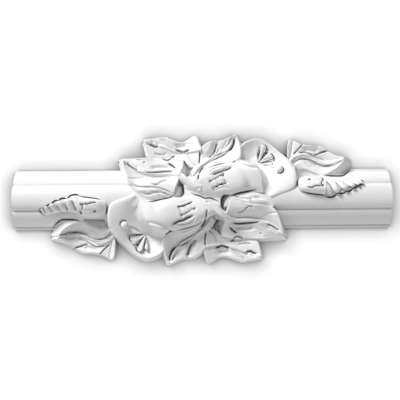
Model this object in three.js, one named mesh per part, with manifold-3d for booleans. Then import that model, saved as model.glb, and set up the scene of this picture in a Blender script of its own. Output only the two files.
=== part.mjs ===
// Decorative insert for a panel moulding: one cast bar with a carved spray of leaves, flowers and buds.
// Millimetres. X runs along the bar, Z is up the wall, the back lies in the plane y = 0 and the front looks to -Y.
// The spray is the same when it is turned half round about the middle, so one half is shaped and turned.
import * as THREE from 'three';
import * as BufferGeometryUtils from 'three/addons/utils/BufferGeometryUtils.js';
import Module from 'manifold-3d';

// Bar
const BAR_LENGTH = 380;
const BAR_WIDTH = 60;
const FLANGE_WIDTH = 2.6;
const FLANGE_THICKNESS = 4;
const FLANGE_STEP = 1.2;
const BAND_TOP = 16.6;
const BAND_BULGE = 1.4;
const GROOVE_WIDTH = 1.8;
const GROOVE_DEPTH = 1.7;
const TORUS_WIDTH = 24.8;
const TORUS_HEIGHT = 23.5;
const TORUS_STEPS = 14;

// Spray: its size over the tips of the buds and of the leaves, and how far it stands off the wall
const SPRAY_LENGTH = 325;
const SPRAY_HEIGHT = 132.4;
const SPRAY_RELIEF = 32.5;

// Carving
const BODY_SPREAD = { left: 0.08, right: 0.08, up: 0.08, down: 0.08 };
const MOUTH_SPREAD = { left: 0.1, right: 0.1, up: 0.1, down: 0.1 };
const MIDDLE_STEPS = 16;
const LEAF_STEPS = 14;
const LEAF_COLUMNS = 8;
const CUP_STEPS = 12;
const CUP_COLUMNS = 9;
const CUP_BASE_ROUND = 0.06;
const FLANK_STEPS = 8;
const STEM_STEPS = 6;
const STALK_COLUMNS = 6;
const CALYX_STEPS = 6;
const CALYX_COLUMNS = 8;
const MOUTH_STEPS = 18;
const MOUTH_COLUMNS = 8;
const NEAR_SHARE = 0.36;
const RIM_DROP = 0.6;
const RIM_ROLL = 4;
const ROLL_DROP = 1.5;
const PETAL_HOLLOW = 4;
const PETAL_SWELL = 2.4;
const BUD_TURNS = 6.2;
const BUD_TURN_DEPTH = 1.5;
const BUD_SLANT = 0.45;
const BUD_STEPS = 24;
const STAMEN_STEPS = 2;
const STAMEN_COLUMNS = 4;
const STAMEN_RISE = 2.5;
const KNOB_RADIUS = 3.6;
const BED_THICKNESS = 4;
const BEHIND = 2;

// Leaves: three edges each, from the root to the tip, as x, z and height above the wall.
// The spread says by how much the foot is larger than the edge towards each side.
const SIDE_LEAF = {
  rib: [[-22.5, 22, 27], [-33, 23.6, 19], [-46, 23.5, 18], [-57, 25.4, 18.5], [-66, 28.6, 20], [-73, 33, 21],
    [-79, 37.4, 22]],
  upper: [[-18, 39, 12], [-31, 41.5, 10], [-45, 42, 10], [-57, 42, 11], [-66, 41.3, 12], [-73, 41, 13],
    [-80.3, 40, 16]],
  lower: [[-29, 2.5, 26.5], [-40, 7.5, 28], [-50, 9.5, 28], [-60, 9.6, 27], [-68, 11, 26], [-74.5, 18, 25],
    [-80, 36.2, 21]],
  ribHalf: 2.6,
  ribRise: 2.8,
  wave: 0.8,
  spread: { left: 0.24, right: 0.19, up: 0.19, down: 0.19 },
};
const CREST_LEAF = {
  rib: [[-1, 50, 13], [-12, 48, 11], [-22, 48, 9], [-31, 50.2, 9.5], [-40, 53.5, 10], [-49, 56.5, 10],
    [-58, 59.3, 11]],
  upper: [[-2, 54.5, 11], [-7, 64.8, 8], [-19, 59.3, 7], [-29, 60.8, 7.5], [-38, 64.2, 8], [-47, 63, 9],
    [-58.8, 61, 9]],
  lower: [[-3.5, 33, 12], [-11, 31.5, 12], [-22, 40, 9], [-33, 39.5, 6], [-44, 40.5, 7], [-54.5, 43, 8],
    [-59, 58.4, 9]],
  ribHalf: 1.9,
  ribRise: 2.8,
  wave: 0.6,
  spread: { left: 0.09, right: 0.09, up: 0.09, down: 0.09 },
};
const TIP_LEAF = {
  rib: [[-9, 21, 23], [-3.5, 30, 20], [5, 37, 16], [15, 42.3, 12], [24, 48, 10], [30, 55.5, 9], [34, 65.4, 9]],
  upper: [[-12, 25, 20], [-8, 31, 17], [-3, 38, 12], [-2, 50.5, 9], [8, 59, 8.5], [20.4, 60.5, 8],
    [33.2, 66.2, 8]],
  lower: [[-5, 17, 22], [0, 25, 22], [8, 29.5, 22], [18, 33, 21.5], [30, 34.5, 21], [38.5, 40, 18],
    [39.5, 52, 11], [35.2, 65.4, 8]],
  ribHalf: 1.8,
  ribRise: 2.8,
  wave: 0.5,
  spread: { left: 0.12, right: 0.12, up: 0.12, down: 0.12 },
};
const FAR_LEAF = {
  rib: [[89, 36, 10], [95, 42.3, 8.5], [102.5, 44, 8], [113, 39.6, 6], [123, 36.2, 5], [134, 36.2, 8],
    [143.2, 38.2, 16]],
  upper: [[88, 43, 9], [90.5, 60.4, 5], [102, 56.2, 6.5], [112, 54.2, 7.5], [123, 53, 6.5], [133, 45, 8],
    [144, 40.4, 15]],
  lower: [[90, 31, 12], [97, 28, 9], [104, 26, 8.5], [113, 23, 10], [124, 22.2, 12.5], [136.5, 29, 16.5],
    [144.6, 37.6, 16]],
  ribHalf: 3.1,
  ribRise: 2.6,
  wave: 0.5,
  spread: { left: 0.06, right: 0.38, up: 0.1, down: 1.6 },
};

// Round bodies: both edges and the crest between them, from the base to the end
const FLANK = {
  upper: [[-27, 7, 23.5], [-40, 9, 26.5], [-50, 11, 27], [-60, 11, 26], [-70, 13, 23.5]],
  crest: [[-29, 1, 25], [-40, 2, 27], [-50, 2.5, 27.2], [-60, 3, 26], [-71, 9, 23]],
  lower: [[-30, -1, 19], [-39, -4, 20], [-50, -4.6, 20], [-60, -0.5, 19], [-72, 7, 19]],
};
const STEM = {
  upper: [[-30, 25, 14], [-22, 23.4, 22], [-12, 17, 23], [-1, 13, 26]],
  crest: [[-30, 22.5, 15], [-21, 20, 27], [-12, 13.5, 29], [-1, 8.5, 30]],
  lower: [[-30, 19, 14], [-23, 15.5, 20], [-14, 8.5, 23], [-4, 4, 25]],
};
const FLOWER_CUP = {
  upper: [[-18, 15, 18], [-9, 20, 21], [-1, 25, 20], [8, 29.5, 20], [17, 32.5, 20], [27, 35.5, 20],
    [36.5, 36, 25]],
  crest: [[-20, 9, 22], [-11, 10, 27], [-2, 10, 29.5], [9, 12, 31], [22, 14.5, 31.5], [38, 16.5, 32.5],
    [56.5, 17.5, 30]],
  lower: [[-18, 5.5, 16], [-8, 3, 12.5], [2, -0.5, 12], [12, -2.5, 14], [26, 1.5, 20], [42, 3, 21],
    [60.5, 3, 25.5]],
};
const CALYX = {
  upper: [[98, 17, 19], [105, 19.6, 18], [114, 20, 18], [122.5, 18, 18]],
  crest: [[96, 11, 26], [104, 11.2, 30], [114, 10.8, 31], [123, 9.5, 30.5]],
  lower: [[98, 4.5, 23.6], [105, 2.8, 24], [114, 1.6, 24.3], [122, 0.4, 24.3]],
};
const BUD = {
  upper: [[119, 17, 17], [130, 14.8, 17.5], [140, 14.3, 18], [150, 16, 17], [157, 17.6, 17], [161, 16.5, 17]],
  crest: [[119, 9.5, 29.5], [130, 8, 29.5], [140, 8.6, 28.8], [150, 10.6, 27.6], [157, 12.4, 26],
    [162.5, 12.4, 23.4]],
  lower: [[119, 0.5, 24.3], [130, -0.8, 24.3], [140, 2.6, 24], [150, 5.2, 23.2], [157, 7, 22.2],
    [161.5, 8.6, 21]],
};

// Flower mouth: near rim, valley of the throat and outer rim
const NEAR_RIM = [[36.5, 36, 25], [45, 32.6, 28.5], [53, 28.4, 30], [57.8, 21, 30], [59, 10.5, 28.5],
  [60.5, 3, 25.5]];
const THROAT = [[38, 42, 15], [46, 40, 10], [54, 38, 6], [60, 31, 5], [66.5, 22, 11], [67.5, 12, 18],
  [64.5, 2, 22]];
const OUTER_RIM = [[37.5, 45, 13], [39, 54, 11], [47, 60.8, 11], [57, 62.8, 11], [68, 57.5, 11.5],
  [78.5, 47, 14], [87, 39, 17], [92.5, 31, 20], [94.6, 22, 23.5], [94, 12, 25], [90.5, 6, 24.5],
  [81, 1.5, 24], [70, -3.6, 23]];

// Stamens: from the throat to the far end, with the width at that end
const STAMENS = [
  { from: [57, 38.5, 6.5], to: [56.4, 52, 11], width: 3.6 },
  { from: [58, 38, 6.5], to: [65, 53.5, 11.5], width: 6.4 },
  { from: [59.4, 37, 6.5], to: [72.6, 43, 12.5], width: 7 },
  { from: [60.6, 35, 6.5], to: [71, 34.6, 12.5], width: 4.4 },
];
const KNOB = [78.2, 28, 17.4];

// Ground that closes the gaps between the pieces above the bar
const BED = [[-40, 26], [-40, 36], [-20, 44], [0, 44], [20, 48], [36, 44], [50, 48], [70, 40], [84, 30],
  [100, 34], [125, 32], [130, 26]];

const wasm = await Module();
wasm.setup();

function solid(geometry) {
  const bare = geometry.index ? geometry : BufferGeometryUtils.mergeVertices(geometry);
  bare.deleteAttribute('normal');
  bare.deleteAttribute('uv');
  const merged = BufferGeometryUtils.mergeVertices(bare, 1e-5);
  return new wasm.Manifold(new wasm.Mesh({
    numProp: 3,
    vertProperties: Float32Array.from(merged.attributes.position.array),
    triVerts: Uint32Array.from(merged.index.array),
  }));
}

function geometryOf(manifold) {
  const mesh = manifold.getMesh();
  const geometry = new THREE.BufferGeometry();
  geometry.setAttribute('position', new THREE.BufferAttribute(Float32Array.from(mesh.vertProperties), 3));
  geometry.setIndex(new THREE.BufferAttribute(Uint32Array.from(mesh.triVerts), 1));
  return geometry;
}

// How far the drawn points reach from the middle in x, z and height, which sets their scale
const shapes = [SIDE_LEAF, CREST_LEAF, TIP_LEAF, FAR_LEAF, FLANK, STEM, FLOWER_CUP, CALYX, BUD];
const drawnPoints = shapes.flatMap((shape) => [...shape.upper, ...(shape.rib ?? shape.crest), ...shape.lower]);
const reachOf = (axis) => Math.max(...drawnPoints.map((point) => Math.abs(point[axis])));
const scaleX = SPRAY_LENGTH / 2 / reachOf(0);
const scaleZ = SPRAY_HEIGHT / 2 / reachOf(1);
const scaleHeight = SPRAY_RELIEF / reachOf(2);

// A drawn point in its place on the wall; heights come towards the viewer, so they are -Y
function placed([x, z, height]) {
  return new THREE.Vector3(x * scaleX, -height * scaleHeight, z * scaleZ);
}

// A point list as a smooth curve
function edge(points) {
  return new THREE.CatmullRomCurve3(points.map(placed), false, 'catmullrom', 0.5);
}

// A block whose front face takes the carved form and whose back face stands behind the wall plane.
// The back is the same outline, larger by the spread, so the sides lean out as a casting's sides must.
function carvedBlock(along, across, front, spread) {
  const box = new THREE.BoxGeometry(1, 1, 1, along, 1, across);
  const position = box.attributes.position;
  const middle = new THREE.Vector3();
  for (let i = 0; i < MIDDLE_STEPS; i += 1) {
    const k = i / MIDDLE_STEPS;
    middle.add(front(k, 0)).add(front(1, k)).add(front(1 - k, 1)).add(front(0, 1 - k));
  }
  middle.divideScalar(4 * MIDDLE_STEPS);
  for (let i = 0; i < position.count; i += 1) {
    const point = front(position.getX(i) + 0.5, position.getZ(i) + 0.5);
    if (position.getY(i) > 0) {
      const aside = point.x - middle.x;
      const above = point.z - middle.z;
      const wideX = point.x + aside * (aside > 0 ? spread.right : spread.left);
      const wideZ = point.z + above * (above > 0 ? spread.up : spread.down);
      position.setXYZ(i, wideX, BEHIND, wideZ);
    } else {
      position.setXYZ(i, point.x, point.y, point.z);
    }
  }
  const start = front(0.5, 0.5);
  const alongU = front(0.52, 0.5).sub(start).setY(0);
  const alongV = front(0.5, 0.52).sub(start).setY(0);
  if (alongU.cross(alongV).y > 0) {
    const index = box.index.array;
    for (let i = 0; i < index.length; i += 3) {
      const kept = index[i];
      index[i] = index[i + 1];
      index[i + 1] = kept;
    }
  }
  return solid(box);
}

// Leaf: a raised rib in its own valley, and two blades that swell from the valley to the margins
function leaf(shape) {
  const rib = edge(shape.rib);
  const upper = edge(shape.upper);
  const lower = edge(shape.lower);
  const front = (u, v) => {
    const side = 2 * v - 1;
    const spread = Math.abs(side);
    const ribPoint = rib.getPoint(u);
    const margin = (side > 0 ? upper : lower).getPoint(u);
    const reach = Math.hypot(margin.x - ribPoint.x, margin.z - ribPoint.z);
    const valley = Math.min(0.4, shape.ribHalf / Math.max(reach, 0.01));
    const first = 0.25;
    let share;
    let height;
    const floor = -ribPoint.y - shape.ribRise * Math.min(1, reach / 6);
    if (spread <= first) {
      const k = spread / first;
      share = valley * k;
      height = THREE.MathUtils.lerp(-ribPoint.y, floor, k * k);
    } else {
      const k = (spread - first) / (1 - first);
      share = THREE.MathUtils.lerp(valley, 1, k);
      height = THREE.MathUtils.lerp(floor, -margin.y, Math.sin(k * Math.PI / 2));
      height += shape.wave * Math.sin(u * 14 + (side > 0 ? 0 : 2)) * k * k;
    }
    return new THREE.Vector3(
      THREE.MathUtils.lerp(ribPoint.x, margin.x, share),
      -height,
      THREE.MathUtils.lerp(ribPoint.z, margin.z, share),
    );
  };
  return carvedBlock(LEAF_STEPS, LEAF_COLUMNS, front, shape.spread);
}

// Round body: an arc from one edge over the crest to the other, at every step along it.
// It may have a rounded base, end in a rim curve, or be twisted into scales.
function roundBody(shape, steps, columns, { rim, baseRound, turn } = {}) {
  const upper = edge(shape.upper);
  const crest = edge(shape.crest);
  const lower = edge(shape.lower);
  const rimCurve = rim ? edge(rim) : null;
  const arcPoint = (u, angle) => {
    const top = upper.getPoint(u);
    const low = lower.getPoint(u);
    const middle = top.clone().add(low).multiplyScalar(0.5);
    const inset = baseRound ? THREE.MathUtils.clamp(1 - u / baseRound, 0, 0.97) : 0;
    const size = Math.sqrt(1 - inset ** 2);
    const rise = crest.getPoint(u).sub(middle).multiplyScalar(size);
    const half = top.sub(low).multiplyScalar(0.5 * size);
    return middle.addScaledVector(rise, Math.cos(angle)).addScaledVector(half, Math.sin(angle));
  };
  const front = (u, v) => {
    const angle = (v - 0.5) * Math.PI;
    const point = arcPoint(u, angle);
    if (turn) {
      const phase = (u * turn.count + Math.sin(angle) * turn.slant + 8) % 1;
      const dip = turn.depth * Math.abs(Math.cos(Math.PI * phase)) ** 3;
      point.y += dip;
    }
    if (rimCurve) {
      const last = arcPoint(1, angle);
      point.addScaledVector(rimCurve.getPoint(1 - v).sub(last), u ** 5);
    }
    return point;
  };
  return carvedBlock(steps, columns, front, BODY_SPREAD);
}

// Flower mouth: the near rim falls into the throat, and the petals rise from the throat to the outer rim,
// hollow on the left of the throat and swelling on its right
function mouth() {
  const near = edge(NEAR_RIM);
  const throat = edge(THROAT);
  const outer = edge(OUTER_RIM);
  const front = (u, v) => {
    const low = throat.getPoint(u);
    const inside = v < NEAR_SHARE;
    let k;
    let end;
    if (inside) {
      k = 1 - v / NEAR_SHARE;
      end = near.getPoint(u);
      end.y += RIM_DROP;
    } else {
      k = (v - NEAR_SHARE) / (1 - NEAR_SHARE);
      end = outer.getPoint(u);
    }
    const turn = THREE.MathUtils.smoothstep(u, 0.35, 0.6);
    const bulge = THREE.MathUtils.lerp(-PETAL_HOLLOW, PETAL_SWELL, turn);
    const swell = inside ? 0 : bulge * Math.sin(Math.PI * k);
    const fromRim = inside ? 1 : (1 - k) * Math.hypot(end.x - low.x, end.z - low.z) / RIM_ROLL;
    const roll = ROLL_DROP * Math.max(0, 1 - fromRim) ** 2;
    const height = THREE.MathUtils.lerp(-low.y, -end.y, inside ? k ** 1.3 : k) + swell - roll;
    return new THREE.Vector3(
      THREE.MathUtils.lerp(low.x, end.x, k),
      -height,
      THREE.MathUtils.lerp(low.z, end.z, k),
    );
  };
  return carvedBlock(MOUTH_STEPS, MOUTH_COLUMNS, front, MOUTH_SPREAD);
}

function stamen({ from, to, width }) {
  const start = placed(from);
  const end = placed(to);
  const side = end.clone().sub(start).setY(0).normalize();
  side.set(-side.z, 0, side.x);
  const front = (u, v) => {
    const half = width * 0.5 * (0.2 + 0.8 * u);
    const across = 2 * v - 1;
    const point = start.clone().lerp(end, u).addScaledVector(side, across * half);
    point.y -= STAMEN_RISE * (1 - across * across);
    return point;
  };
  return carvedBlock(STAMEN_STEPS, STAMEN_COLUMNS, front, BODY_SPREAD);
}

function knob() {
  const ball = new THREE.SphereGeometry(KNOB_RADIUS, 10, 6);
  const middle = placed(KNOB);
  ball.translate(middle.x, middle.y, middle.z);
  return solid(ball);
}

function bar() {
  const half = BAR_WIDTH / 2;
  const inner = half - FLANGE_WIDTH;
  const torusHalf = TORUS_WIDTH / 2;
  const bandFoot = FLANGE_THICKNESS + FLANGE_STEP;
  const bandHead = torusHalf + GROOVE_WIDTH;
  const right = [[half, 0], [half, FLANGE_THICKNESS], [inner, FLANGE_THICKNESS], [inner, bandFoot]];
  const bandSteps = 4;
  for (let i = 1; i <= bandSteps; i += 1) {
    const k = i / bandSteps;
    const across = THREE.MathUtils.lerp(inner, bandHead, k);
    const height = THREE.MathUtils.lerp(bandFoot, BAND_TOP, k) + BAND_BULGE * 4 * k * (1 - k);
    right.push([across, height]);
  }
  right.push([torusHalf + GROOVE_WIDTH / 2, BAND_TOP - GROOVE_DEPTH]);
  const profile = new THREE.Shape();
  profile.moveTo(half, -BEHIND);
  right.slice(1).forEach(([across, height]) => profile.lineTo(across, height));
  for (let i = 0; i <= TORUS_STEPS; i += 1) {
    const angle = Math.PI * i / TORUS_STEPS;
    const rise = TORUS_HEIGHT - BAND_TOP;
    profile.lineTo(torusHalf * Math.cos(angle), BAND_TOP + rise * Math.sin(angle));
  }
  right.slice(1).reverse().forEach(([across, height]) => profile.lineTo(-across, height));
  profile.lineTo(-half, -BEHIND);
  profile.closePath();
  const geometry = new THREE.ExtrudeGeometry(profile, { depth: BAR_LENGTH, steps: 1, bevelEnabled: false });
  geometry.translate(0, 0, -BAR_LENGTH / 2);
  const lie = new THREE.Matrix4().makeBasis(
    new THREE.Vector3(0, 0, 1),
    new THREE.Vector3(0, -1, 0),
    new THREE.Vector3(1, 0, 0),
  );
  geometry.applyMatrix4(lie);
  return solid(geometry);
}

function bed() {
  const outline = new THREE.Shape();
  BED.forEach(([x, z], i) => {
    const corner = [x * scaleX, z * scaleZ];
    if (i) outline.lineTo(...corner);
    else outline.moveTo(...corner);
  });
  outline.closePath();
  const depth = BED_THICKNESS + BEHIND;
  const plate = new THREE.ExtrudeGeometry(outline, { depth, steps: 1, bevelEnabled: false });
  plate.rotateX(Math.PI / 2);
  plate.translate(0, BEHIND, 0);
  return solid(plate);
}

// One half of the spray
const half = [
  bed(),
  leaf(SIDE_LEAF),
  leaf(CREST_LEAF),
  leaf(TIP_LEAF),
  leaf(FAR_LEAF),
  roundBody(FLANK, FLANK_STEPS, STALK_COLUMNS),
  roundBody(STEM, STEM_STEPS, STALK_COLUMNS),
  roundBody(FLOWER_CUP, CUP_STEPS, CUP_COLUMNS, { rim: NEAR_RIM, baseRound: CUP_BASE_ROUND }),
  mouth(),
  ...STAMENS.map(stamen),
  knob(),
  roundBody(CALYX, CALYX_STEPS, CALYX_COLUMNS),
  roundBody(BUD, BUD_STEPS, STALK_COLUMNS, {
    turn: { count: BUD_TURNS, slant: BUD_SLANT, depth: BUD_TURN_DEPTH },
  }),
].reduce((joined, piece) => joined.add(piece));

// The other half is the same one turned about the middle
const turnedGeometry = geometryOf(half);
turnedGeometry.rotateY(Math.PI);
const turned = solid(turnedGeometry);

// Everything behind the wall plane is cut away, which leaves the flat back
const behindWall = new THREE.BoxGeometry(BAR_LENGTH * 2, BEHIND * 10, BAR_LENGTH);
behindWall.translate(0, BEHIND * 5, 0);
const whole = bar().add(half).add(turned).subtract(solid(behindWall));

const material = new THREE.MeshStandardMaterial({ color: 0xf1f1ef, roughness: 0.6, metalness: 0 });
const insert = new THREE.Mesh(geometryOf(whole), material);
insert.name = 'insert';

const group = new THREE.Group();
group.add(insert);
export default group;
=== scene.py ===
"""Decorative insert for a panel moulding: a bar and its carved spray, cast in foam and primed white."""

import math

import bpy
import numpy as np
from mathutils import Matrix, Vector


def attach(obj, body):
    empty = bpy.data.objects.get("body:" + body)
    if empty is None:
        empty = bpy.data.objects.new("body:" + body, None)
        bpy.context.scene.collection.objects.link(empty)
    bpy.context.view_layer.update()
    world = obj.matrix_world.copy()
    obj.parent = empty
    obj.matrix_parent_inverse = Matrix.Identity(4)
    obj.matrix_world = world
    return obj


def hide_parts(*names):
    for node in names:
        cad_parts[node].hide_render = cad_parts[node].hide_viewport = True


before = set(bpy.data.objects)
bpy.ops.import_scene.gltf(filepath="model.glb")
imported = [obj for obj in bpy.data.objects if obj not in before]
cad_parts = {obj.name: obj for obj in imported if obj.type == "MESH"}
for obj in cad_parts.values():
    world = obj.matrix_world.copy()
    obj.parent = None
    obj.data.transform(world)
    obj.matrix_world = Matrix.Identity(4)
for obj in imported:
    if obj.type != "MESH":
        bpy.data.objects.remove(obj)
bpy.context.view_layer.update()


# The moulding bar.
# A straight length of moulding in rigid foam: two thin flanges, two rounded bands, and a full round between
# two grooves. It is cast with the spray in one mould, and both ends are sawn square. Sizes are in mm.
BAR_LENGTH = 380
BAR_WIDTH = 60
FLANGE_WIDTH = 2.6
FLANGE_THICKNESS = 4
FLANGE_STEP = 1.2
EDGE_SOFTNESS = 0.5
EDGE_START = 0.4
EDGE_POINTS = 3
BAND_TOP = 16.6
BAND_BULGE = 1.9
BAND_POINTS = 15
GROOVE_WIDTH = 2.7
GROOVE_DEPTH = 0.6
GROOVE_FOOT = 0.4
ROUND_WIDTH = 24.8
ROUND_HEIGHT = 23.5
ROUND_START = 0.58
ROUND_POINTS = 17
BAR_STATIONS = 77
BEHIND = 2
MM = 0.001


def mesh_object(name, rows, faces):
    """A mesh from rows of x, z and height in millimetres. Height is towards the viewer, which is -Y."""
    rows = np.asarray(rows, float)
    points = np.column_stack([rows[:, 0], -rows[:, 2], rows[:, 1]]) * MM
    mesh = bpy.data.meshes.new(name)
    mesh.from_pydata(points.tolist(), [], faces)
    mesh.validate()
    obj = bpy.data.objects.new(name, mesh)
    bpy.context.scene.collection.objects.link(obj)
    turn_outward(mesh)
    return obj


def turn_outward(mesh):
    """Turns all faces over if the closed mesh is inside out."""
    mesh.calc_loop_triangles()
    corners = np.empty(len(mesh.loop_triangles) * 3, int)
    mesh.loop_triangles.foreach_get("vertices", corners)
    points = np.empty(len(mesh.vertices) * 3)
    mesh.vertices.foreach_get("co", points)
    a, b, c = points.reshape(-1, 3)[corners.reshape(-1, 3)].transpose(1, 0, 2)
    if np.einsum("ij,ij->", a, np.cross(b, c)) < 0:
        mesh.flip_normals()


def bar_section():
    """Half of the section, from the flange to the middle, as distance from the middle and height."""
    half = BAR_WIDTH / 2
    inner = half - FLANGE_WIDTH
    round_half = ROUND_WIDTH / 2
    points = [(half, -BEHIND), (half, FLANGE_THICKNESS - EDGE_SOFTNESS)]
    for a in np.linspace(EDGE_START, math.pi / 2, EDGE_POINTS):
        points.append((half - EDGE_SOFTNESS * (1 - math.cos(a)),
                       FLANGE_THICKNESS - EDGE_SOFTNESS * (1 - math.sin(a))))
    points.append((inner, FLANGE_THICKNESS))
    foot = FLANGE_THICKNESS + FLANGE_STEP
    head = round_half + GROOVE_WIDTH
    for k in np.linspace(0, 1, BAND_POINTS):
        bulge = BAND_BULGE * 4 * k * (1 - k)
        points.append((inner + (head - inner) * k, foot + (BAND_TOP - foot) * k + bulge))
    points.append((round_half + GROOVE_FOOT, BAND_TOP - GROOVE_DEPTH))
    for a in np.linspace(ROUND_START, math.pi / 2, ROUND_POINTS):
        points.append((round_half * math.cos(a), BAND_TOP + (ROUND_HEIGHT - BAND_TOP) * math.sin(a)))
    return points


def bar():
    side = bar_section()
    loop = side + [(-across, height) for across, height in side[-2::-1]]
    stations = np.linspace(-BAR_LENGTH / 2, BAR_LENGTH / 2, BAR_STATIONS)
    rows = [(x, across, height) for x in stations for across, height in loop]
    n = len(loop)
    faces = [(s * n + i, s * n + (i + 1) % n, (s + 1) * n + (i + 1) % n, (s + 1) * n + i)
             for s in range(len(stations) - 1) for i in range(n)]
    faces += [tuple(range(n))[::-1], tuple(range((len(stations) - 1) * n, len(stations) * n))]
    return mesh_object("bar", rows, faces)


insert = bar()


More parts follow.
